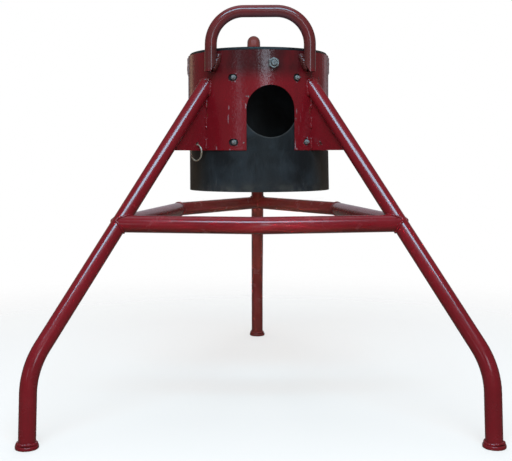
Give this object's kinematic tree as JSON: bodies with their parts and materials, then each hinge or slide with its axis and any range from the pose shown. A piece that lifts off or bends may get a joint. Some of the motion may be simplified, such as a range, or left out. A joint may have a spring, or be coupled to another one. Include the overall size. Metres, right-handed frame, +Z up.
{
  "type": "tripod guide stand",
  "caption": "Welded three-legged tube stand with a rolled collar and handles, holding a closed plastic hood with a side window.",
  "frame": {"origin": "on the floor, in the middle of the footprint", "axes": "+Z up along the hood's axis direction, -Y the front with the window and the front handle, +X to the right seen from the front"},
  "size_m": [0.7458, 0.8652, 0.7062],
  "materials": {
    "red_enamel": "gloss enamel, worn",
    "hood_black": "matte, scuffed",
    "zinc": "zinc plated",
    "ring_wire": "bare wire"
  },
  "bodies": {
    "stand": {"guide_sleeve": "hood_black", "collar_shell": "red_enamel", "collar_band": "red_enamel", "leg_left": "red_enamel", "leg_right": "red_enamel", "leg_rear": "red_enamel", "foot_left": "red_enamel", "foot_right": "red_enamel", "foot_rear": "red_enamel", "gusset_left": "red_enamel", "gusset_right": "red_enamel", "gusset_rear": "red_enamel", "brace_front": "red_enamel", "brace_left_front": "red_enamel", "brace_left_rear": "red_enamel", "brace_right_front": "red_enamel", "brace_right_rear": "red_enamel", "front_handle": "red_enamel", "rear_handle": "red_enamel", "sleeve_nuts": "zinc", "sleeve_washers": "zinc", "sleeve_screws": "zinc", "clamp_nut": "zinc", "clamp_washer": "zinc", "clamp_bolt": "zinc"},
    "ring": {"wire_ring": "ring_wire"}
  },
  "joints": [
    {"name": "ring_swing", "type": "hinge", "parent": "stand", "child": "ring", "pos_m": [-0.11034, -0.18123, 0.4626], "axis": [-0.6903, 0.7236, 0], "range_deg": [-44, 55]}
  ]
}
